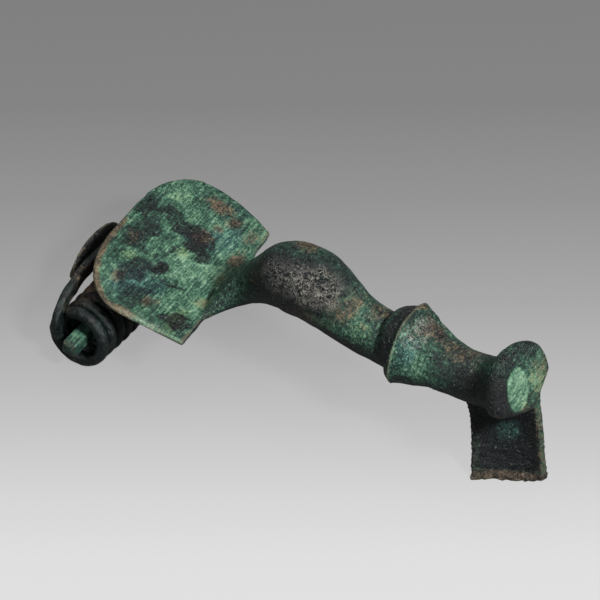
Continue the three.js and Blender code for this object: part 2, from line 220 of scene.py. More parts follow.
def layered_noise(points, size, seed, layers=4):
    """Value noise in layers, each half the size and half the strength of the one before."""
    total = np.zeros(len(points))
    for k in range(layers):
        total += value_noise(points + 17.3 * k, size / 2 ** k, seed + k) / 2 ** k
    return total / 1.6


def tube_faces(rings, sides):
    """Quads between closed rings that follow each other."""
    i, j = np.meshgrid(np.arange(rings - 1), np.arange(sides), indexing="ij")
    k = (j + 1) % sides
    corners = [i * sides + j, i * sides + k, (i + 1) * sides + k, (i + 1) * sides + j]
    return np.stack(corners, -1).reshape(-1, 4)


def closed_tube(rings):
    """Rings of points (n, m, 3) as a closed body, with each end drawn to its middle."""
    n, m, _ = rings.shape
    points = np.concatenate([rings.reshape(-1, 3), [rings[0].mean(0)], [rings[-1].mean(0)]])
    quads = tube_faces(n, m)
    j = np.arange(m)
    k = (j + 1) % m
    start = np.stack([np.full(m, n * m), k, j], -1)
    end = np.stack([np.full(m, n * m + 1), (n - 1) * m + j, (n - 1) * m + k], -1)
    return points, [quads, start, end]


def closed_plate(front, back):
    """Two grids of points (rows, columns, 3), front and back, as a closed plate with a rim."""
    rows, cols, _ = front.shape
    layer = rows * cols
    i, j = np.meshgrid(np.arange(rows - 1), np.arange(cols - 1), indexing="ij")
    a = (i * cols + j).ravel()
    faces = [np.stack([a, a + 1, a + cols + 1, a + cols], -1)]
    faces.append(np.stack([a, a + cols, a + cols + 1, a + 1], -1) + layer)
    left = np.arange(rows - 1) * cols
    right = left + cols - 1
    faces.append(np.stack([left, left + cols, left + cols + layer, left + layer], -1))
    faces.append(np.stack([right, right + layer, right + cols + layer, right + cols], -1))
    first = np.arange(cols - 1)
    last = first + (rows - 1) * cols
    faces.append(np.stack([first, first + layer, first + layer + 1, first + 1], -1))
    faces.append(np.stack([last, last + 1, last + 1 + layer, last + layer], -1))
    return np.concatenate([front.reshape(-1, 3), back.reshape(-1, 3)]), faces


def mesh_of(name, bodies):
    """One mesh from several closed bodies, each given as its points and its lists of faces."""
    points, loops, sizes, base = [], [], [], 0
    for body_points, face_sets in bodies:
        points.append(body_points)
        for faces in face_sets:
            loops.append((faces + base).ravel())
            sizes.append(np.full(len(faces), faces.shape[1]))
        base += len(body_points)
    points, loops, sizes = np.concatenate(points), np.concatenate(loops), np.concatenate(sizes)
    mesh = bpy.data.meshes.new(name)
    mesh.vertices.add(len(points))
    mesh.vertices.foreach_set("co", points.ravel())
    mesh.loops.add(len(loops))
    mesh.loops.foreach_set("vertex_index", loops.astype(np.int32))
    mesh.polygons.add(len(sizes))
    mesh.polygons.foreach_set("loop_start", np.concatenate([[0], np.cumsum(sizes)[:-1]]).astype(np.int32))
    mesh.update(calc_edges=True)
    mesh.validate()
    return mesh


def vertices_of(mesh):
    flat = np.empty(len(mesh.vertices) * 3)
    mesh.vertices.foreach_get("co", flat)
    return flat.reshape(-1, 3)


def normals_of(mesh):
    flat = np.empty(len(mesh.vertices) * 3)
    mesh.vertices.foreach_get("normal", flat)
    return flat.reshape(-1, 3)


def edges_of(mesh):
    flat = np.empty(len(mesh.edges) * 2, dtype=np.int32)
    mesh.edges.foreach_get("vertices", flat)
    return flat.reshape(-1, 2)


def set_vertices(mesh, points):
    mesh.vertices.foreach_set("co", np.ascontiguousarray(points, dtype=np.float64).ravel())
    mesh.update()


def neighbour_mean(values, edges, count):
    """The mean of each vertex's neighbours, for a column or several columns of values."""
    total = np.zeros((count,) + values.shape[1:])
    number = np.zeros(count)
    for a, b in ((0, 1), (1, 0)):
        np.add.at(total, edges[:, a], values[edges[:, b]])
        np.add.at(number, edges[:, a], 1.0)
    return total / number.reshape((-1,) + (1,) * (values.ndim - 1))


def smoothed(values, edges, rounds, strength=0.5):
    """Each round moves every value part of the way to its neighbours' mean."""
    for _ in range(rounds):
        values = values + strength * (neighbour_mean(values, edges, len(values)) - values)
    return values


def plate_height(depth):
    return PLATE_FRONT_HEIGHT + PLATE_RISE * depth / PLATE_DEPTH


def plate_surface(lift):
    """The head plate's face. Across it runs a width that swells with depth, and along it a depth that
    is straight at the sides and rounds off to the back as a power curve. Within a rim's width of the
    outline the face falls away as a quarter circle does."""
    v, u = np.meshgrid(np.linspace(0, 1, 61), np.linspace(0, 1, 141), indexing="ij")
    side = 2 * u - 1
    pick = lambda key: np.where(side < 0, NEAR_SIDE[key], FAR_SIDE[key])
    straight = pick("straight")
    depth = v * (straight + (PLATE_DEPTH - straight) * np.sqrt(1 - np.abs(side) ** pick("power")))
    swell = pick("swell") * np.sin(math.pi / 2 * np.minimum(1, depth / straight))
    y = side * (pick("width") + swell)
    x = -depth - math.tan(PLATE_FRONT_SKEW) * y * (1 - v)
    inside = np.minimum(depth[-1] - depth, (1 - np.abs(side)) * pick("width"))
    fall = 1 - np.sqrt(1 - np.clip(1 - inside / PLATE_RIM, 0, 1) ** 2)
    return np.stack([x, y, plate_height(depth) + PLATE_DISH * side * side + lift * (1 - 0.8 * fall)], -1)


def head_plate():
    return closed_plate(plate_surface(PLATE_THICKNESS / 2), plate_surface(-PLATE_THICKNESS / 2))


def curve_at(knots, t):
    """A smooth curve through rows of values, read at t = 0 for the first row, 1 for the next and so on: a
    cubic from row to row whose slope at each is half the step between its neighbours."""
    last = len(knots) - 1
    i = np.clip(np.floor(t).astype(int), 0, last - 1)
    f = (t - i)[:, None]
    at = lambda n: knots[np.clip(n, 0, last)]
    slope_here = (at(i + 1) - at(i - 1)) / 2
    slope_next = (at(i + 2) - at(i)) / 2
    return ((2 * f ** 3 - 3 * f ** 2 + 1) * at(i) + (f ** 3 - 2 * f ** 2 + f) * slope_here
            + (3 * f ** 2 - 2 * f ** 3) * at(i + 1) + (f ** 3 - f ** 2) * slope_next)


def section_values(t):
    """The bow's sections read at any place between the listed ones, on a smooth curve through them."""
    return curve_at(BOW_SECTIONS, t)


def bow_body():
    """Ellipse-like rings set square to the middle line, and rolled about it towards the collar."""
    t = np.linspace(0, len(BOW_SECTIONS) - 1, 321)
    x, z, wide, above, below, square = section_values(t).T
    ahead = section_values(np.minimum(t + 0.02, t[-1])) - section_values(np.maximum(t - 0.02, 0))
    length = np.hypot(ahead[:, 0], ahead[:, 1])
    zero = np.zeros_like(x)
    up = np.stack([-ahead[:, 1] / length, zero, ahead[:, 0] / length], -1)
    side = np.array([0.0, 1.0, 0.0])
    roll = COLLAR_ROLL * (smooth_step(ROLL_START_X, ROLL_MOST_X, x) - smooth_step(ROLL_MOST_X, ROLL_END_X, x))
    across = side * np.cos(roll)[:, None] - up * np.sin(roll)[:, None]
    above_dir = up * np.cos(roll)[:, None] + side * np.sin(roll)[:, None]
    angle = np.linspace(0, 2 * math.pi, 96, endpoint=False)[None, :]
    c, s = np.cos(angle), np.sin(angle)
    power = (2 / square)[:, None]
    y = np.sign(c) * np.abs(c) ** power * wide[:, None]
    h = np.sign(s) * np.abs(s) ** power * np.where(s > 0, above[:, None], below[:, None])
    middle = np.stack([x, zero, z], -1)[:, None, :]
    return closed_tube(middle + across[:, None, :] * y[..., None] + above_dir[:, None, :] * h[..., None])


def catch_surface(offset):
    """The catch plate's face: it turns to the far side along u, and its lower edge curls nearer with v."""
    v, u = np.meshgrid(np.linspace(0, 1, 91), np.linspace(0, 1, 61), indexing="ij")
    x = CATCH_START + (CATCH_TOP_LENGTH + (CATCH_EDGE_LENGTH - CATCH_TOP_LENGTH) * v) * u + CATCH_SPLAY * v
    curl = CATCH_CURL * (1 - CATCH_CURL_LOST * u) * smooth_step(0.35, 1.1, v)
    hollow = CATCH_HOLLOW * (1 - (2 * u - 1) ** 4) * smooth_step(0.15, 0.4, v) * smooth_step(1.0, 0.9, v)
    face = offset if offset > 0 else offset + hollow
    return np.stack([x, CATCH_TWIST * u - curl + face, CATCH_TOP * (1 - v)], -1)


def catch_plate():
    half = CATCH_THICKNESS / 2
    return closed_plate(catch_surface(half), catch_surface(-half))


def foot_knob():
    """Rings of a superellipse with its own reach to each side, stacked along the tilted axis, and shrunk
    towards both faces as a superellipse too. What lies beyond the worn plane is pressed back on to it."""
    axis = np.array([math.cos(KNOB_PITCH) * math.cos(KNOB_YAW), -math.cos(KNOB_PITCH) * math.sin(KNOB_YAW),
                     math.sin(KNOB_PITCH)])
    level = np.array([math.sin(KNOB_YAW), math.cos(KNOB_YAW), 0.0])
    upright = np.cross(axis, level)
    across = level * math.cos(KNOB_ROLL) + upright * math.sin(KNOB_ROLL)
    above = upright * math.cos(KNOB_ROLL) - level * math.sin(KNOB_ROLL)
    turn, fall = np.meshgrid(np.linspace(0, 2 * math.pi, 120, endpoint=False),
                             np.linspace(-0.499 * math.pi, 0.499 * math.pi, 61))
    c, s = np.cos(turn), np.sin(turn)
    a = np.sign(c) * np.abs(c) ** (2 / KNOB_SQUARE) * np.where(c < 0, KNOB_NEAR, KNOB_FAR)
    b = np.sign(s) * np.abs(s) ** (2 / KNOB_SQUARE) * np.where(s < 0, KNOB_DOWN, KNOB_UP)
    shrink = np.cos(fall) ** (2 / KNOB_EDGE_SQUARE)
    along = np.sign(np.sin(fall)) * np.abs(np.sin(fall)) ** (2 / KNOB_EDGE_SQUARE) * KNOB_HALF_THICKNESS
    rings = ((a * shrink)[..., None] * across + (b * shrink)[..., None] * above + along[..., None] * axis
             + np.array(KNOB_CENTRE))
    beyond = np.maximum(rings @ KNOB_WORN_DIRECTION - KNOB_WORN_REACH, 0)
    return closed_tube(rings - beyond[..., None] * KNOB_WORN_DIRECTION)


def facet_distances(points):
    """Height over the facet's plane, and the share of its half length and half width from its middle."""
    off = points - FACET_CENTRE
    height = off @ FACET_NORMAL
    lengthwise = FACET_LENGTHWISE - FACET_NORMAL * (FACET_LENGTHWISE @ FACET_NORMAL)
    lengthwise /= np.linalg.norm(lengthwise)
    crosswise = np.cross(FACET_NORMAL, lengthwise)
    return height, off @ lengthwise / FACET_HALF_LENGTH, off @ crosswise / FACET_HALF_WIDTH


def lug_plate():
    """The lug's outline in x and z, filled from its middle outwards and given an even thickness."""
    front = -SPRING_X - LUG_FRONT_REACH
    back = -SPRING_X + LUG_BACK_REACH
    outline = [(-front, plate_height(front)), (-back, plate_height(back)),
               (SPRING_X - LUG_RADIUS, SPRING_Z + LUG_ARM_TOP + LUG_ARM_SLOPE),
               (HOOK_X, SPRING_Z + LUG_ARM_TOP), (HOOK_X, SPRING_Z + LUG_ARM_BOTTOM)]
    outline += [(SPRING_X + LUG_RADIUS * math.cos(a), SPRING_Z + LUG_RADIUS * math.sin(a)) for a in LUG_ROUND]
    outline = np.array(outline)
    n = len(outline)
    flat = np.stack([outline[:, 0], np.zeros(n), outline[:, 1]], -1)
    half = np.array([0, LUG_THICKNESS / 2, 0])
    points = np.concatenate([flat - half, flat + half])
    j = np.arange(n)
    k = (j + 1) % n
    walls = np.stack([j, k, k + n, j + n], -1)
    return points, [walls, np.arange(n)[None, ::-1], n + np.arange(n)[None, :]]


def chord_hook():
    """A leaf that stands behind the chord. Its height falls off across it as an ellipse does, it leans back
    with the square of its height, and it thins towards its upper edge."""
    v, u = np.meshgrid(np.linspace(0, 1, 41), np.linspace(0, 1, 91), indexing="ij")
    side = 2 * u - 1
    rise = (v - HOOK_FOOT_SHARE) * HOOK_HEIGHT * np.sqrt(1 - HOOK_SIDE_DROP * side * side)
    lean = HOOK_LEAN * (np.maximum(0, rise) / ((1 - HOOK_FOOT_SHARE) * HOOK_HEIGHT)) ** 2
    half = HOOK_THICKNESS / 2 * (1 - HOOK_EDGE_LOST * smooth_step(0.75, 1.0, v))
    x, y, z = HOOK_X - lean, HOOK_HALF_WIDTH * side, SPRING_Z + HOOK_BASE_RISE + rise
    return closed_plate(np.stack([x + half, y, z], -1), np.stack([x - half, y, z], -1))


def remeshed(name, bodies, voxel):
    """The bodies joined into one skin of even cells, in millimetres."""
    rough = bpy.data.objects.new(name + "_rough", mesh_of(name + "_rough", bodies))
    bpy.context.scene.collection.objects.link(rough)
    modifier = rough.modifiers.new("skin", "REMESH")
    modifier.mode = "VOXEL"
    modifier.voxel_size = voxel
    modifier.adaptivity = 0.0
    graph = bpy.context.evaluated_depsgraph_get()
    mesh = bpy.data.meshes.new_from_object(rough.evaluated_get(graph))
    mesh.name = name
    bpy.data.objects.remove(rough)
    return mesh


def set_attribute(mesh, name, values):
    """A value for each vertex under a name, new or in place of the one it had."""
    place = mesh.attributes.get(name) or mesh.attributes.new(name, "FLOAT", "POINT")
    place.data.foreach_set("value", np.ascontiguousarray(values, dtype=np.float32))


def curvature(points, normals, edges, rounds):
    """How far each point stands out of its surroundings, along its normal."""
    flat = smoothed(points, edges, rounds, 0.7)
    return np.sum((points - flat) * normals, axis=1)


def spot(points, centre, reach, warp):
    """1 at the middle of a soft patch and 0 past its reach, with a ragged outline."""
    d = (points - np.array(centre)) / np.array(reach)
    return np.clip(1.25 - np.sqrt(np.sum(d * d, axis=1)) + warp, 0, 1)


def blotch(points, centre, reach, warp):
    """1 all over a patch and 0 outside it, with a ragged outline at its reach."""
    d = (points - np.array(centre)) / np.array(reach)
    return smooth_step(-0.3, 0.3, 1.0 - np.sqrt(np.sum(d * d, axis=1)) + warp)


def summed(points, patches, warp):
    """The sum of soft patches, each given as its amount, its middle and its reach."""
    return sum(amount * spot(points, centre, reach, warp) for amount, centre, reach in patches)


def strongest(points, patches, warp, form=spot):
    """The strongest of several patches at each point."""
    parts = [amount * form(points, centre, reach, warp) for amount, centre, reach in patches]
    return np.maximum.reduce(parts)


def finish_piece(name, mesh, material, node):
    """Puts a millimetre mesh in its place in metres and ties it to the frame."""
    points = vertices_of(mesh)
    points = (points + np.array([shift_x, 0, 0])) * MM
    set_vertices(mesh, points)
    mesh.polygons.foreach_set("use_smooth", np.ones(len(mesh.polygons), dtype=bool))
    mesh.materials.clear()
    mesh.materials.append(material)
    piece = bpy.data.objects.new(name, mesh)
    bpy.context.scene.collection.objects.link(piece)
    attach(piece, "root")
    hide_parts(node)
    return piece


def make_bow(material):
    """The casting's solids joined into one skin, its facet pressed flat, and then a relief along the normals:
    a slow sway, shallow dents, sharp pits, a raised line along the collar's rim, a dent round the collar's
    band, a nicked outline and a broken lower edge."""
    bodies = [head_plate(), bow_body(), foot_knob(), catch_plate(), lug_plate(), chord_hook()]
    mesh = remeshed("bow_casting", bodies, VOXEL)
    edges = edges_of(mesh)
    points = smoothed(vertices_of(mesh), edges, 2, 0.5)
    on_catch = smooth_step(12.6, 11.6, points[:, 2]) * smooth_step(33.2, 34.0, points[:, 0])
    points = points + (smoothed(points, edges, 8, 0.5) - points) * on_catch[:, None]
    height, lengthwise, crosswise = facet_distances(points)
    over = np.where(np.abs(lengthwise) < 1.6, np.maximum(height, 0), 0)
    points = points - over[:, None] * FACET_NORMAL
    set_vertices(mesh, points)
    normals = normals_of(mesh)
    broad = curvature(points, normals, edges, 26)
    calm = 1 - np.clip(1.6 - np.hypot(lengthwise, crosswise), 0, 1) * (np.abs(height) < 0.5)
    bow = smooth_step(1.5, 3.5, points[:, 0])
    sway = 0.08 * layered_noise(points, 6.0, 3) + (0.05 + 0.02 * bow) * layered_noise(points, 1.7, 11)
    dents = -0.09 * smooth_step(0.15, 0.8, layered_noise(points, 2.4, 19)) * bow
    pits = -0.10 * smooth_step(0.30, 0.75, layered_noise(points, 1.2, 23))
    band = np.exp(-((collar_distance(points) + 0.75) / 0.4) ** 2) * (points[:, 2] > 9)
    beyond_core = np.hypot(points[:, 1], points[:, 2] - BOW_CORE_HEIGHT) > 3.8
    rim_line = np.exp(-((collar_distance(points) - 0.02) / 0.16) ** 2) * beyond_core
    outer = (points[:, 0] > -17.2) * smooth_step(0.10, 0.32, broad)
    nicks = -0.20 * outer * (1 - on_catch) * smooth_step(0.10, 0.6, layered_noise(points, 1.5, 31))
    lower_edge = smooth_step(1.6, 0.2, points[:, 2]) * smooth_step(34, 36, points[:, 0])
    broken = 0.35 * lower_edge * layered_noise(points, 1.1, 37)
    relief = (sway + dents + pits + nicks) * calm + broken + 0.10 * rim_line - 0.10 * band * beyond_core
    points = points + normals * relief[:, None]
    points[:, 2] = np.maximum(points[:, 2], 0)
    set_vertices(mesh, points)
    set_attribute(mesh, "edge", np.clip(curvature(points, normals_of(mesh), edges, 7) / 0.10, -1, 1))
    set_attribute(mesh, "tone", bow_tones(points, normals))
    set_attribute(mesh, "hue", bow_hues(points))
    set_attribute(mesh, "brown", bow_browns(points))
    set_attribute(mesh, "soot_and_shade_mask", bow_soot_and_shade(points))
    set_attribute(mesh, "painted_highlight", bow_painted_highlights(points))
    return finish_piece("bow_casting", mesh, material, "cast_bow")


def collar_distance(points):
    """How far footwards of the collar's sharp rim a point lies, along the bow."""
    return points[:, 0] - COLLAR_RIM


# Patches that more than one mask reads: the golden brown ones on the hump, each with its amount, middle and
# reach, and the middle and reach of the teal one in the catch plate's hollow
TEAL_PATCH = ((40.9, 1.0, 7.1), (2.8, 9.0, 2.4))
GOLDEN_PATCHES = [
    (0.9, (10.4, 1.6, 21.4), (2.0, 1.6, 1.4)),
    (1.0, (18.0, -1.2, 17.8), (3.0, 3.4, 2.8)),
    (0.9, (13.4, -4.8, 15.7), (4.8, 2.2, 1.5)),
    (0.5, (6.0, -1.0, 17.4), (2.2, 3.6, 2.8)),
]


def bow_tones(points, normals):
    """How light the patina is: below 0 for its dark areas and above 0 for its light ones. Soft patches with a
    ragged outline are added up, and dark blotches are laid over them. The catch plate's hollow and the hook
    are darker, partly their own dark patina and partly painted shade; the plate's underside, all that faces
    down and all below the plate are darker as painted shade. The collar's rim and the plate's near edge are
    lighter as painted highlights."""
    warp = 0.5 * layered_noise(points, 3.2, 41, 5)
    frayed = 0.70 * layered_noise(points, 1.3, 43, 4) + 0.60 * layered_noise(points, 4.4, 47, 3)
    height, lengthwise, crosswise = facet_distances(points)
    facet = smooth_step(1.08, 0.92, np.sqrt(lengthwise ** 2 + crosswise ** 2)) * (np.abs(height) < 0.6)
    plate = smooth_step(0.6, -0.6, points[:, 0])
    # Painted shade: faces that turn downwards.
    under = smooth_step(0.1, -0.5, normals[:, 2])
    tone = 0.16 * plate - 0.12 * (1 - plate) + 0.20 * layered_noise(points, 5.0, 49, 3)
    # Light patches. Those on the collar's flare and on the knob's end face, which face the foot-side lamp,
    # are partly the patina's own colour and partly painted light.
    light = [
        (0.30, (-1.0, -4.4, 10), (2.2, 2.4, 2)),
        (0.10, (-13.3, 9.6, 10), (2.6, 2.6, 2)),
        (0.30, (-4.4, 0.2, 10), (2.8, 3.2, 2)),
        (0.40, (-7.4, 1.6, 10), (1.0, 1.0, 2)),
        (0.20, (-4.1, 6.5, 10), (2.4, 3.0, 2)),
        (0.20, (-13.0, -2.7, 10), (1.6, 1.6, 2)),
        (0.65, (28.6, -3.0, 17.4), (2.2, 2.6, 3.2)),
        (0.15, (31.5, -3.5, 15.0), (2.6, 2.0, 2.2)),
        (0.95, (44.2, 2.4, 18.4), (2.0, 3.4, 4.4)),
    ]
    # Dark patches. Those on the hump's near side, the collar's band and the knob's near side are partly the
    # patina's own dark colour and partly painted shade.
    dark = [
        (0.20, (-14.5, 4.5, 10), (1.8, 4.0, 3)),
        (0.70, (8.0, -3.0, 18), (3.6, 4.2, 4.0)),
        (0.60, (11.5, -3.6, 18), (4.2, 3.2, 4.0)),
        (0.55, (12.6, -1.8, 19.6), (5.8, 4.8, 4.0)),
        (0.45, (21.0, -2.6, 12.6), (6.0, 3.4, 2.2)),
        (0.75, (25.2, 0.0, 14.5), (1.0, 9.0, 9.0)),
        (0.45, (35.2, -1.8, 16.2), (3.4, 2.4, 2.6)),
        (0.30, (38.0, -2.0, 15.0), (3.4, 3.0, 3.6)),
        (0.70, (41.4, -4.4, 15.5), (1.9, 2.6, 3.4)),
        (0.80, (42.4, -5.0, 17.0), (2.4, 2.2, 4.0)),
    ]
    tone += summed(points, light, warp) - summed(points, dark, warp)
    blotches = [
        (0.50, (-11.9, 6.6, 10), (2.2, 1.5, 3)),
        (0.80, (-9.3, 5.6, 10), (2.2, 1.6, 3)),
        (0.85, (-7.0, 3.8, 10), (1.7, 1.3, 3)),
        (0.75, (-5.2, 2.7, 10), (1.2, 0.9, 3)),
        (0.60, (-7.1, 5.7, 10), (1.5, 1.5, 3)),
        (0.45, (-13.8, 0.8, 10), (1.5, 1.7, 3)),
        (0.65, (-10.9, -4.9, 10), (1.8, 1.8, 3)),
        (0.85, (-8.5, -2.3, 10), (1.0, 1.2, 3)),
        (0.60, (-10.4, -3.0, 10), (1.9, 1.1, 3)),
        (0.40, (-8.6, -8.0, 10), (2.8, 2.2, 3)),
        (0.75, (-1.9, -8.9, 10), (2.1, 1.4, 3)),
        (0.35, (-4.8, 10.1, 10), (1.3, 0.9, 3)),
        (0.30, (-12.9, 8.0, 10), (1.4, 0.7, 3)),
        (0.45, (-12.8, 3.0, 10), (1.4, 1.0, 3)),
        (0.45, (-15.6, 6.3, 10), (1.2, 2.6, 3)),
    ]
    tone -= strongest(points, blotches, frayed, blotch) * plate
    crack = np.abs(points[:, 1] + 3.8 - 0.3 * (points[:, 0] + 5.2)) + 0.12 * np.abs(warp)
    tone -= 0.6 * smooth_step(0.28, 0.08, crack) * smooth_step(1.4, 1.0, np.abs(points[:, 0] + 5.2)) * plate
    # Painted shade: whatever faces down is darker.
    tone -= 0.25 * under
    # Painted shade: the lug, the hook and all else below the head plate are darker.
    tone -= 0.55 * smooth_step(9.0, 8.4, points[:, 2]) * (points[:, 0] < 0)
    tone += 0.2 * plate_rim(points)
    # Painted highlight: a pale line along the collar's rim.
    tone += 0.9 * np.exp(-((collar_distance(points) - 0.02) / 0.16) ** 2) * smooth_step(20, 17, points[:, 2])
    # The catch plate is darker, most of all in its hollow: partly its own dark patina, partly painted shade.
    catch = smooth_step(13.2, 12.0, points[:, 2]) * smooth_step(33.6, 35.0, points[:, 0])
    inside = smooth_step(0.10, 0.16, catch_share(points)) * smooth_step(0.94, 0.88, catch_share(points))
    foot = smooth_step(2.0, 1.0, points[:, 2])
    tone -= catch * (0.55 + 0.6 * inside) * (1 - foot)
    tone += 1.1 * catch * spot(points, *TEAL_PATCH, 1.7 * warp)
    tone += 0.8 * catch * smooth_step(0.94, 0.98, catch_share(points)) * (1 - foot)
    knob = smooth_step(39.6, 40.6, points[:, 0]) * smooth_step(12.8, 13.6, points[:, 2]) * (1 - facet)
    bare = 0.50 + 0.6 * warp - 0.25 * smooth_step(0.2, -0.9, lengthwise) * smooth_step(-0.3, 0.6, crosswise)
    tone += 0.35 * summed(points, GOLDEN_PATCHES, warp)
    # The hook is darker: partly its own dark patina, partly painted shade under the plate's edge.
    hook = smooth_step(-17.9, -18.3, points[:, 0]) * (points[:, 2] < 9.0)
    # Painted highlight: a lighter band along the plate's near edge.
    near_edge_highlight = smooth_step(-11.1, -11.5, points[:, 1]) * (points[:, 2] > 8.6) * (points[:, 0] > -12)
    tone += 0.5 * near_edge_highlight - 0.35 * hook
    return np.clip(tone - 0.3 * knob, -1.2, 1) * (1 - facet) + bare * facet


def plate_rim(points):
    """1 along the near back corner of the head plate's outline, in a band of a ragged width."""
    side = np.clip(-points[:, 1] / NEAR_SIDE["width"], 0, 1)
    outline = NEAR_SIDE["straight"] + (PLATE_DEPTH - NEAR_SIDE["straight"]) * np.sqrt(1 - side ** 2)
    inside = np.minimum(outline + points[:, 0], 1.2 * (NEAR_SIDE["width"] + points[:, 1]))
    inside = inside + 0.35 * layered_noise(points, 1.2, 63, 3)
    place = smooth_step(4.5, 0.5, points[:, 1]) * smooth_step(-5.5, -8.0, points[:, 0])
    return smooth_step(1.05, 0.65, inside) * place * (points[:, 2] > 8.6) * (points[:, 0] > -17.8)


def bow_hues(points):
    """Where the green leans to blue (below 0) or to yellow (above 0)."""
    warp = 0.5 * layered_noise(points, 2.6, 57, 4)
    hue = 0.5 * layered_noise(points, 5.0, 59, 3)
    yellow = [
        (0.9, (-1.2, -4.1, 10), (1.8, 1.8, 2)),
        (0.4, (-13.2, 9.8, 10), (2.6, 2.2, 2)),
        (0.7, (-13.0, -2.7, 10), (1.8, 1.4, 2)),
        (0.9, (-7.6, 1.8, 10), (1.2, 1.2, 2)),
        (0.8, (-2.0, -8.6, 10), (1.2, 3.0, 2)),
        (0.5, (43.8, 1.5, 17.5), (1.6, 3.6, 3.4)),
    ]
    blue = [
        (0.9, (-10.0, -6.2, 10), (3.6, 3.6, 2)),
        (0.7, (-9.0, 5.2, 10), (2.6, 2.0, 2)),
        (0.35, (-4.1, 6.5, 10), (2.4, 3.0, 2)),
        (0.6, (28.2, -4.2, 17.5), (1.8, 2.4, 4.0)),
        (0.7, (9.0, -3.0, 17.5), (4.0, 4.0, 4.0)),
        (0.9, (41.3, 1.0, 7.2), (2.4, 9.0, 3.0)),
    ]
    return np.clip(hue + summed(points, yellow, warp) - summed(points, blue, warp), -1, 1)


def catch_share(points):
    """How far along the catch plate a point lies: 0 at its head edge and 1 at its foot edge."""
    v = 1 - points[:, 2] / CATCH_TOP
    length = CATCH_TOP_LENGTH + (CATCH_EDGE_LENGTH - CATCH_TOP_LENGTH) * v
    return (points[:, 0] - CATCH_START - CATCH_SPLAY * v) / length


def bow_browns(points):
    """Where the patina turns brown: soft ragged patches, the plate's back rim, the hook and the catch
    plate's rims."""
    warp = 0.55 * layered_noise(points, 2.2, 53, 5)
    patches = [
        (0.85, (-7.1, 5.8, 10), (1.5, 1.4, 2)),
        (0.55, (-13.9, 0.8, 10), (1.3, 1.5, 2)),
        (0.65, (-12.2, -6.4, 10), (1.3, 1.5, 2)),
        (0.75, (-6.6, -8.0, 10), (1.3, 1.1, 2)),
        (0.75, (-7.7, 11.6, 10), (2.4, 1.5, 2)),
        (0.55, (-4.8, 10.1, 10), (1.6, 1.2, 2)),
        (0.50, (-1.9, 9.8, 10), (1.2, 2.0, 2)),
        (0.80, (-1.4, 4.7, 10), (1.2, 2.6, 2)),
        (0.60, (-1.5, 1.0, 10.5), (1.2, 1.6, 2)),
        (0.70, (-6.2, 8.0, 10), (0.8, 0.7, 2)),
        (0.50, (-1.2, -4.1, 10), (0.9, 1.0, 2)),
        (0.50, (21.0, 0.5, 17.8), (3.4, 2.2, 1.6)),
        (0.65, (26.0, 2.6, 19.6), (1.4, 3.0, 1.5)),
        (0.80, (29.6, 0.4, 19.0), (2.4, 2.0, 2.0)),
        (0.70, (33.8, 0.0, 18.0), (3.4, 1.8, 1.4)),
        (0.50, (43.6, 2.6, 18.2), (2.0, 3.2, 4.0)),
        (0.65, (41.6, -4.8, 14.8), (1.6, 1.4, 1.6)),
        (0.75, (43.4, -0.8, 13.8), (2.0, 3.0, 1.8)),
    ]
    brown = strongest(points, patches + GOLDEN_PATCHES, warp)
    catch = smooth_step(12.6, 11.0, points[:, 2]) * smooth_step(33.6, 35.0, points[:, 0])
    share = catch_share(points)
    sides = catch * np.maximum(0.4 * smooth_step(0.12, 0.04, share), 0.6 * smooth_step(0.88, 0.96, share))
    foot = catch * smooth_step(1.9, 0.7, points[:, 2])
    hook = smooth_step(-17.9, -18.5, points[:, 0]) * smooth_step(9.0, 8.6, points[:, 2])
    masks = [brown, 1.1 * plate_rim(points), 0.75 * sides, 0.95 * foot, 0.25 * hook]
    return np.clip(np.maximum.reduce(masks), 0, 1)


def bow_soot_and_shade(points):
    """Blue-black, glossy areas, partly dark patina and partly painted shade: the hump's near side, the
    collar's band and the catch plate's hollow.
    """
    warp = 0.5 * layered_noise(points, 2.6, 61, 4)
    patches = [
        (1.0, (9.4, -3.2, 18.2), (5.2, 4.8, 4.6)),
        (1.0, (13.4, -1.6, 19.6), (4.8, 4.4, 3.6)),
        (0.8, (25.2, 0.0, 14.5), (0.9, 9.0, 9.0)),
        (0.5, (-7.8, 5.0, 10), (2.2, 1.6, 2)),
        (0.4, (-9.6, -3.2, 10), (2.2, 1.6, 2)),
        (1.0, (42.0, -5.0, 16.6), (2.2, 2.2, 4.0)),
        (0.4, (34.8, -2.2, 16.4), (2.4, 1.8, 1.8)),
    ]
    soot_and_shade = strongest(points, patches, warp)
    catch = smooth_step(11.6, 10.2, points[:, 2]) * smooth_step(34.2, 35.4, points[:, 0])
    share = catch_share(points)
    hollow = catch * smooth_step(0.08, 0.2, share) * smooth_step(0.93, 0.84, share)
    hollow = hollow * smooth_step(1.2, 2.2, points[:, 2])
    teal = spot(points, *TEAL_PATCH, 1.7 * warp)
    return np.clip(np.maximum(soot_and_shade, hollow * (1 - teal)), 0, 1)


def bow_painted_highlights(points):
    """Painted highlights, drawn as a crackle of bright metal: the hump's top towards the collar, the collar's
    flare and the plate's near edge.
    """
    warp = 0.4 * layered_noise(points, 1.6, 67, 3)
    return strongest(points, [
        (1.0, (14.2, -2.6, 20.0), (3.4, 2.5, 2.4)),
        (0.25, (10.0, -3.2, 19.6), (3.6, 2.6, 2.4)),
        (0.9, (28.2, -1.4, 18.8), (1.5, 2.4, 1.8)),
        (0.7, (-5.0, -11.6, 9.6), (5.0, 0.6, 1.4)),
    ], warp)


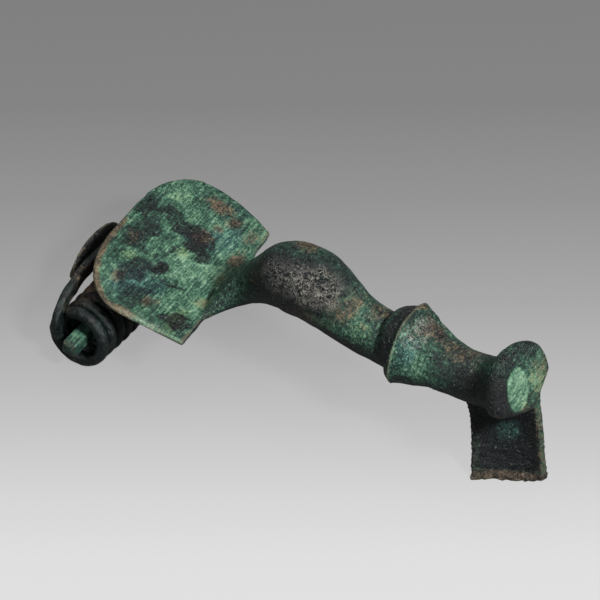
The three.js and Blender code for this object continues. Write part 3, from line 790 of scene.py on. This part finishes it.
def wire_path():
    """The wire's middle line and its outward direction: a coil from beside the lug outwards, a chord that
    rises from the coil's back and crosses behind it, and the same coil mirrored on the far side."""
    inner = LUG_THICKNESS / 2 + RUNNING_GAP + WIRE_RADIUS + COIL_CLEARANCE
    turn = np.linspace(0, COIL_TURNS, 520)
    angle = 2 * math.pi * (turn - COIL_TURNS)
    out = np.stack([-np.cos(angle), np.zeros_like(angle), np.sin(angle)], -1)
    coil = COIL_RADIUS * out
    coil[:, 1] = -(inner + COIL_PITCH * turn)
    end = inner + COIL_PITCH * COIL_TURNS
    knots = np.array([
        coil[-8], coil[-1],
        (-COIL_RADIUS - 0.15, -end - 0.05, 1.2),
        (-COIL_RADIUS - 0.5, -end + 0.9, 2.3),
        (-COIL_RADIUS - 1.0, -end + 2.6, CHORD_RISE + 0.05),
        (-COIL_RADIUS - 1.5, -end + 5.2, CHORD_RISE + 0.1),
        (-CHORD_SETBACK + 0.1, -end + 8.4, CHORD_RISE), (-CHORD_SETBACK, 0, CHORD_RISE),
        (-CHORD_SETBACK + 0.1, end - 8.4, CHORD_RISE),
    ])
    chord = curve_at(knots, np.linspace(1, len(knots) - 2, (len(knots) - 3) * CHORD_STEPS + 1))
    half = np.concatenate([coil[:-1], chord])
    half_out = np.concatenate([out[:-1], np.tile([-1.0, 0.0, 0.0], (len(chord), 1))])
    mirror = np.array([1, -1, 1])
    path = np.concatenate([half, (half * mirror)[::-1][1:]])
    outward = np.concatenate([half_out, (half_out * mirror)[::-1][1:]])
    flat = np.concatenate([np.zeros(len(coil) - 1), smooth_step(0, 60, np.arange(len(chord)))])
    return path, outward, np.concatenate([flat, flat[::-1][1:]])


def swept(path, outward, half_out, half_along, square, sides):
    """A superellipse section carried along a path, with one axis kept towards the outward direction."""
    tangent = np.gradient(path, axis=0)
    tangent /= np.linalg.norm(tangent, axis=1, keepdims=True)
    normal = outward - tangent * np.sum(outward * tangent, axis=1, keepdims=True)
    normal /= np.linalg.norm(normal, axis=1, keepdims=True)
    binormal = np.cross(tangent, normal)
    angle = np.linspace(0, 2 * math.pi, sides, endpoint=False)[None, :]
    c, s = np.cos(angle), np.sin(angle)
    power = (2 / square)[:, None]
    a = np.sign(c) * np.abs(c) ** power * half_out[:, None]
    b = np.sign(s) * np.abs(s) ** power * half_along[:, None]
    rings = path[:, None, :] + normal[:, None, :] * a[..., None] + binormal[:, None, :] * b[..., None]
    return closed_tube(rings)


def in_spring_frame(points):
    """Turns and moves points from the spring's own axes to their place under the head plate."""
    c, s = math.cos(SPRING_SKEW), math.sin(SPRING_SKEW)
    x = points[:, 0] * c - points[:, 1] * s + SPRING_X
    y = points[:, 0] * s + points[:, 1] * c
    return np.stack([x, y, points[:, 2] + SPRING_Z], -1)


def make_wire(material):
    """The wire swept along its path: round in the coil and a ribbon in the chord, which lies a little nearer
    to the coil, with a crust on the coil's crown where it is brown with earth."""
    path, outward, flat = wire_path()
    worn = 1 + 0.04 * layered_noise(path, 4.0, 71)
    half_out = (WIRE_RADIUS + 0.03 - 0.20 * flat) * worn
    half_along = (WIRE_RADIUS + 0.03 + 0.42 * flat) * worn
    path = path + flat[:, None] * CHORD_SHIFT
    points, faces = swept(path, outward, half_out, half_along, 2.3 + 1.2 * flat, 30)
    mesh = mesh_of("spring_coil", [(in_spring_frame(points), faces)])
    dress_small_piece(mesh, 0.07)
    points = vertices_of(mesh)
    warp = 0.5 * layered_noise(points, 2.4, 97, 4)
    earth = spot(points, (-15.5, -6.0, 7.2), (2.6, 5.6, 2.2), warp)
    coil_only = smooth_step(4.35, 4.15, np.hypot(points[:, 0] - SPRING_X, points[:, 2] - SPRING_Z))
    points = points + normals_of(mesh) * (0.4 * earth * coil_only)[:, None]
    set_vertices(mesh, points)
    set_attribute(mesh, "brown", np.clip(0.35 * warp + 0.95 * earth, 0, 1))
    set_attribute(mesh, "tone", -0.30 + 0.9 * warp + 0.5 * earth)
    return finish_piece("spring_coil", mesh, material, "spring_wire")


def make_rod(material):
    """A squarish bar along the spring's axis with slightly rounded ends."""
    y = np.concatenate([[-1, -0.997, -0.99, -0.98], np.linspace(-0.97, 0.97, 300), [0.98, 0.99, 0.997, 1]])
    path = np.stack([np.zeros_like(y), y * ROD_HALF_LENGTH, np.zeros_like(y)], -1)
    width = ROD_HALF_WIDTH * (1 - 0.16 * smooth_step(0.985, 1.0, np.abs(y)))
    outward = np.tile([0.0, 0.0, 1.0], (len(y), 1))
    points, faces = swept(path, outward, width * 0.98, width, np.full(len(y), 7.0), 40)
    mesh = mesh_of("spring_rod", [(in_spring_frame(points), faces)])
    dress_small_piece(mesh, 0.05)
    return finish_piece("spring_rod", mesh, material, "axis_rod")


def dress_small_piece(mesh, depth):
    """Corroded skin on the wire and the rod, with the same attributes as the casting."""
    points, normals, edges = vertices_of(mesh), normals_of(mesh), edges_of(mesh)
    points = points + normals * (depth * layered_noise(points, 1.0, 83))[:, None]
    set_vertices(mesh, points)
    relief = curvature(points, normals_of(mesh), edges, 6)
    set_attribute(mesh, "edge", np.clip((relief - np.median(relief)) / 0.08, -1, 1))
    set_attribute(mesh, "tone", 0.3 * layered_noise(points, 2.5, 91))
    set_attribute(mesh, "hue", 0.6 * layered_noise(points, 3.0, 93) - 0.3)
    set_attribute(mesh, "brown", np.clip(layered_noise(points, 2.0, 97) - 0.2, 0, 1))
    set_attribute(mesh, "soot_and_shade_mask", np.clip(0.3 + 0.5 * layered_noise(points, 2.2, 101), 0, 1))
    set_attribute(mesh, "painted_highlight", np.zeros(len(points)))


def shade(tree, kind, values=None, **settings):
    """A shader node with its settings, and its inputs set or linked by name or number."""
    node = tree.nodes.new(kind)
    for key, value in settings.items():
        setattr(node, key, value)
    for key, value in (values or {}).items():
        socket = node.inputs[key]
        if isinstance(value, bpy.types.NodeSocket):
            tree.links.new(value, socket)
        else:
            socket.default_value = value
    return node


def colour(red, green, blue):
    """A colour given as it looks on screen, from 0 to 255, in the linear values of a shader."""
    parts = [((c / 255 + 0.055) / 1.055) ** 2.4 if c > 10 else c / 255 / 12.92 for c in (red, green, blue)]
    return (*parts, 1.0)


def colours(*triples):
    return [colour(*triple) for triple in triples]


def attribute(tree, name):
    return shade(tree, "ShaderNodeAttribute", attribute_name=name).outputs["Fac"]


def stepped(tree, value, start, end):
    node = shade(tree, "ShaderNodeMapRange", {"Value": value, "From Min": start, "From Max": end}, clamp=True,
                 interpolation_type="SMOOTHSTEP")
    return node.outputs["Result"]


def maths(tree, operation, a, b=0.0, c=0.0, clamp=False):
    return shade(tree, "ShaderNodeMath", {0: a, 1: b, 2: c}, operation=operation, use_clamp=clamp).outputs[0]


def plus(tree, a, b):
    return maths(tree, "ADD", a, b)


def minus(tree, a, b):
    return maths(tree, "SUBTRACT", a, b)


def times(tree, a, b):
    return maths(tree, "MULTIPLY", a, b)


def mixed(tree, mask, a, b):
    node = shade(tree, "ShaderNodeMix", data_type="RGBA", blend_type="MIX")
    for index, value in ((0, mask), (6, a), (7, b)):
        if isinstance(value, bpy.types.NodeSocket):
            tree.links.new(value, node.inputs[index])
        else:
            node.inputs[index].default_value = value
    return node.outputs[2]


def noise(tree, vector, scale, detail=6.0, rough=0.6, warp=0.0):
    values = {"Vector": vector, "Scale": scale, "Detail": detail, "Roughness": rough, "Distortion": warp}
    return shade(tree, "ShaderNodeTexNoise", values).outputs["Fac"]


def ramp(tree, value, stops):
    """A colour ramp with its stops given as places and colours."""
    node = shade(tree, "ShaderNodeValToRGB", {0: value})
    elements = node.color_ramp.elements
    while len(elements) < len(stops):
        elements.new(0.5)
    for element, (place, tint) in zip(elements, stops):
        element.position = place
        element.color = tint
    return node.outputs["Color"]


TONE_PLACES = (0.10, 0.30, 0.50, 0.68, 0.95)
SKIN_VALUES = ("Height", "Grain", "Middle", "Broad", "Scratches", "Flecks", "Crackle")


def skin_group():
    """Shared relief of corroded bronze: crust, grain, pits and fine scratches, as one height, with their own
    values for patches, flecks and the thin lines of a crackle, which are the folds of a noise about its
    middle."""
    group = bpy.data.node_groups.new("corroded skin", "ShaderNodeTree")
    face = group.interface
    face.new_socket("Vector", in_out="INPUT", socket_type="NodeSocketVector")
    face.new_socket("Pitting", in_out="INPUT", socket_type="NodeSocketFloat")
    for name in SKIN_VALUES:
        face.new_socket(name, in_out="OUTPUT", socket_type="NodeSocketFloat")
    enter, leave = group.nodes.new("NodeGroupInput"), group.nodes.new("NodeGroupOutput")
    vector = enter.outputs["Vector"]
    broad = noise(group, vector, 260.0, 9.0, 0.72, 0.4)
    middle = noise(group, vector, 1000.0, 7.0, 0.78, 0.3)
    grain = noise(group, vector, 2700.0, 5.0, 0.85)
    turned = shade(group, "ShaderNodeMapping", {
        "Vector": vector, "Rotation": (0.2, 0.1, 0.9), "Scale": (4200.0, 500.0, 2600.0)})
    scratches = noise(group, turned.outputs["Vector"], 1.0, 4.0, 0.7)
    pits = stepped(group, noise(group, vector, 1300.0, 3.0, 0.5), 0.58, 0.70)
    pits = times(group, pits, enter.outputs["Pitting"])
    height = plus(group, times(group, middle, 0.8), times(group, grain, 0.7))
    height = plus(group, height, times(group, scratches, 0.4))
    flecks = times(group, stepped(group, grain, 0.58, 0.66), stepped(group, scratches, 0.46, 0.60))
    folded = maths(group, "ABSOLUTE", minus(group, noise(group, vector, 1250.0, 3.0, 0.65, 1.6), 0.5))
    crackle = maths(group, "SUBTRACT", 1.0, times(group, folded, 24.0), clamp=True)
    values = (minus(group, height, pits), grain, middle, broad, scratches, flecks, crackle)
    for name, value in zip(SKIN_VALUES, values):
        group.links.new(value, leave.inputs[name])
    return group


def weighted(tree, parts, offset=0.0):
    """The sum of values times their weights, each value counted from its middle of 0.5."""
    total = None
    for value, weight in parts:
        part = maths(tree, "MULTIPLY_ADD", value, weight, -0.5 * weight)
        total = part if total is None else plus(tree, total, part)
    return plus(tree, total, offset)


def patina_material(name, skin, tones, rough, pitting, bump):
    """Patinated bronze. The piece's tone mask and noise of three sizes, calmer in light places, choose a
    place on three ramps from nearly black to pale: a plain green, a bluish and a yellowish one, of which the
    hue mask takes its share. A blue-black mask, partly dark patina and partly painted shade, and a brown
    mask, broken up by the same noise, turn it blue-black or brown, raised edges are rubbed to metal, and the
    mask of painted highlights draws a crackle of bright metal on a smoother skin as a painted highlight."""
    material = bpy.data.materials.new(name)
    material.use_nodes = True
    tree = material.node_tree
    tree.nodes.clear()
    place = shade(tree, "ShaderNodeTexCoord").outputs["Object"]
    skin_node = shade(tree, "ShaderNodeGroup", node_tree=skin)
    tree.links.new(place, skin_node.inputs["Vector"])
    skin_node.inputs["Pitting"].default_value = pitting
    height, grain, middle, broad, scratches, flecks, crackle = (skin_node.outputs[key] for key in SKIN_VALUES)
    tone, edge, highlight_mask = (attribute(tree, key) for key in ("tone", "edge", "painted_highlight"))

    calm = minus(tree, 1.0, times(tree, stepped(tree, tone, 0.3, 0.8), 0.5))
    mottle = weighted(tree, [(broad, 0.7), (middle, 0.9), (grain, 1.2), (scratches, 1.1)])
    mottle = maths(tree, "MULTIPLY_ADD", calm, mottle, 0.45 + tones["shift"])
    level = plus(tree, mottle, times(tree, tone, 0.5))
    green, blue, yellow = (ramp(tree, level, list(zip(TONE_PLACES, tones[key])))
                           for key in ("green", "blue", "yellow"))
    hue = plus(tree, attribute(tree, "hue"), weighted(tree, [(broad, 1.5), (middle, 1.2)]))
    tint = mixed(tree, times(tree, stepped(tree, hue, -0.15, -0.75), 0.85), green, blue)
    tint = mixed(tree, times(tree, stepped(tree, hue, 0.15, 0.75), 0.85), tint, yellow)

    ragged = weighted(tree, [(middle, 1.6), (grain, 2.0)])
    earthy = plus(tree, weighted(tree, [(middle, 0.9), (grain, 1.4)], 0.5), times(tree, tone, 0.22))
    earth = ramp(tree, earthy, [(0.32, tones["umber"]), (0.50, tones["brown"]), (0.70, tones["ochre"])])
    # Blue-black layer: partly dark patina, partly painted shade.
    soot_and_shade = stepped(tree, plus(tree, attribute(tree, "soot_and_shade_mask"), ragged), 0.35, 0.9)
    brown = stepped(tree, plus(tree, attribute(tree, "brown"), ragged), 0.2, 0.8)
    hollow = stepped(tree, times(tree, edge, -1.0), 0.1, 0.7)
    rubbed = stepped(tree, plus(tree, edge, times(tree, ragged, 0.45)), 0.40, 0.95)
    # Painted highlight: crackle lines of near-white metal where the highlight mask lies.
    lines = times(tree, highlight_mask, crackle)
    layers = [(soot_and_shade, 0.75, tones["soot_and_shade"]), (brown, 0.85, earth), (hollow, 0.75, tones["black"]),
              (rubbed, tones["rubbed"], tones["metal"]), (flecks, tones["flecks"], tones["fleck"]),
              (lines, 0.85, tones["bright"])]
    for mask, share, over in layers:
        tint = mixed(tree, times(tree, mask, share), tint, over)

    smoother = plus(tree, times(tree, soot_and_shade, 0.06), times(tree, highlight_mask, 0.16))
    roughness = minus(tree, weighted(tree, [(middle, 0.7), (grain, 0.3)], rough), smoother)
    relief = shade(tree, "ShaderNodeBump", {
        "Height": plus(tree, height, times(tree, lines, 0.4)), "Strength": 1.0, "Distance": bump})
    surface = shade(tree, "ShaderNodeBsdfPrincipled", {
        "Base Color": tint, "Metallic": maths(tree, "MAXIMUM", times(tree, rubbed, 0.45), lines),
        "Roughness": maths(tree, "MAXIMUM", roughness, 0.12), "Specular IOR Level": 0.22,
        "Normal": relief.outputs["Normal"]})
    output = tree.nodes.new("ShaderNodeOutputMaterial")
    tree.links.new(surface.outputs["BSDF"], output.inputs["Surface"])
    return material


def make_materials():
    """The three patinas. Colours are given as they look on screen, from 0 to 255."""
    skin = skin_group()
    casting = dict(
        green=colours((6, 10, 10), (14, 27, 24), (31, 58, 46), (62, 94, 74), (118, 144, 118)),
        blue=colours((5, 9, 11), (12, 26, 27), (27, 54, 51), (54, 88, 80), (112, 142, 130)),
        yellow=colours((9, 11, 8), (20, 30, 20), (42, 62, 42), (76, 100, 70), (126, 146, 112)),
        black=colour(5, 8, 9), umber=colour(13, 11, 10), brown=colour(48, 38, 31), ochre=colour(94, 77, 58),
        # The blue-black colour stands for dark patina and for painted shade, and the near-white one for the
        # painted highlight's crackle.
        soot_and_shade=colour(6, 9, 12), metal=colour(104, 94, 80), bright=colour(205, 200, 188),
        fleck=colour(128, 142, 128), flecks=0.6, shift=0.0, rubbed=0.5)
    wire = dict(casting, shift=-0.14, flecks=0.25, rubbed=0.4,
                green=colours((5, 9, 9), (11, 22, 20), (22, 40, 36), (40, 62, 55), (66, 88, 78)))
    rod = dict(casting, rubbed=0.12)
    return (patina_material("cast_bronze_patina", skin, casting, 0.42, 0.5, 0.00024),
            patina_material("wire_patina", skin, wire, 0.40, 0.4, 0.00014),
            patina_material("rod_patina", skin, rod, 0.42, 0.5, 0.00009))


def make_camera():
    """The photograph's view: azimuth, elevation and roll about the looking direction."""
    a, e, r = VIEW_AZIMUTH, VIEW_ELEVATION, VIEW_ROLL
    look = Vector((-math.sin(a) * math.cos(e), math.cos(a) * math.cos(e), -math.sin(e)))
    right = Vector((math.cos(a), math.sin(a), 0))
    up = right.cross(look)
    rolled_right = right * math.cos(r) + up * math.sin(r)
    rolled_up = up * math.cos(r) - right * math.sin(r)
    centre = Vector((VIEW_CENTRE[0] + shift_x, VIEW_CENTRE[1], VIEW_CENTRE[2])) * MM
    data = bpy.data.cameras.new("camera")
    data.sensor_fit = "HORIZONTAL"
    data.angle = 2 * math.atan(VIEW_WIDTH / 2 / VIEW_DISTANCE)
    data.clip_start = 0.01
    camera = bpy.data.objects.new("camera", data)
    turn = Matrix((rolled_right, rolled_up, -look)).transposed().to_4x4()
    camera.matrix_world = Matrix.Translation(centre - look * VIEW_DISTANCE * MM) @ turn
    bpy.context.scene.collection.objects.link(camera)
    bpy.context.scene.camera = camera


def area_light(name, place, target, size, power, tint=(1, 1, 1)):
    data = bpy.data.lights.new(name, "AREA")
    data.shape = "DISK"
    data.size = size
    data.energy = power
    data.color = tint
    light = bpy.data.objects.new(name, data)
    light.location = place
    light.rotation_euler = (Vector(target) - Vector(place)).to_track_quat("-Z", "Y").to_euler()
    bpy.context.scene.collection.objects.link(light)


def make_studio():
    world = bpy.data.worlds.new("studio")
    world.use_nodes = True
    world.node_tree.nodes["Background"].inputs["Color"].default_value = (0.80, 0.83, 0.88, 1)
    world.node_tree.nodes["Background"].inputs["Strength"].default_value = 0.06
    bpy.context.scene.world = world
    area_light("foot_side", (0.33, -0.09, 0.42), (0.005, 0, 0.012), 0.11, 7.6)
    area_light("overhead", (-0.12, 0.16, 0.52), (0, 0, 0.01), 0.36, 1.9)
    area_light("head_side", (-0.30, -0.36, 0.26), (-0.01, 0, 0.01), 0.10, 0.7)
    scene = bpy.context.scene
    scene.view_settings.view_transform = "Standard"
    scene.view_settings.look = "None"


def make_floor():
    """A plain sheet of paper whose grey grows paler towards the viewer. It glows a little for the camera, so
    that its grey stays even and the shadows on it stay faint."""
    h = FLOOR_HALF_WIDTH
    mesh = bpy.data.meshes.new("floor")
    mesh.from_pydata([(-h, -h, 0), (h, -h, 0), (h, h, 0), (-h, h, 0)], [], [(0, 1, 2, 3)])
    material = bpy.data.materials.new("pale_paper")
    material.use_nodes = True
    tree = material.node_tree
    tree.nodes.clear()
    place = shade(tree, "ShaderNodeTexCoord").outputs["Object"]
    turned = shade(tree, "ShaderNodeMapping", {"Vector": place, "Rotation": (0, 0, VIEW_TOWARDS_NEAR)})
    across = shade(tree, "ShaderNodeSeparateXYZ", {"Vector": turned.outputs["Vector"]}).outputs["X"]
    share = shade(tree, "ShaderNodeMapRange", {
        "Value": across, "From Min": FLOOR_FAR, "From Max": FLOOR_NEAR}, clamp=True)
    stops = [(stop, (level, level, level, 1)) for stop, level in FLOOR_GREYS]
    grey = ramp(tree, share.outputs["Result"], stops)
    paper = shade(tree, "ShaderNodeBsdfDiffuse", {"Color": (FLOOR_PAPER, FLOOR_PAPER, FLOOR_PAPER, 1)})
    glow = shade(tree, "ShaderNodeEmission", {"Color": grey, "Strength": 1.0})
    seen = times(tree, shade(tree, "ShaderNodeLightPath").outputs["Is Camera Ray"], FLOOR_GLOW)
    both = shade(tree, "ShaderNodeMixShader", {
        0: seen, 1: paper.outputs["BSDF"], 2: glow.outputs["Emission"]})
    output = tree.nodes.new("ShaderNodeOutputMaterial")
    tree.links.new(both.outputs["Shader"], output.inputs["Surface"])
    mesh.materials.append(material)
    floor = bpy.data.objects.new("floor", mesh)
    bpy.context.scene.collection.objects.link(floor)


make_camera()
make_studio()
make_floor()
cast_patina, wire_patina, rod_patina = make_materials()
make_bow(cast_patina)
make_wire(wire_patina)
make_rod(rod_patina)
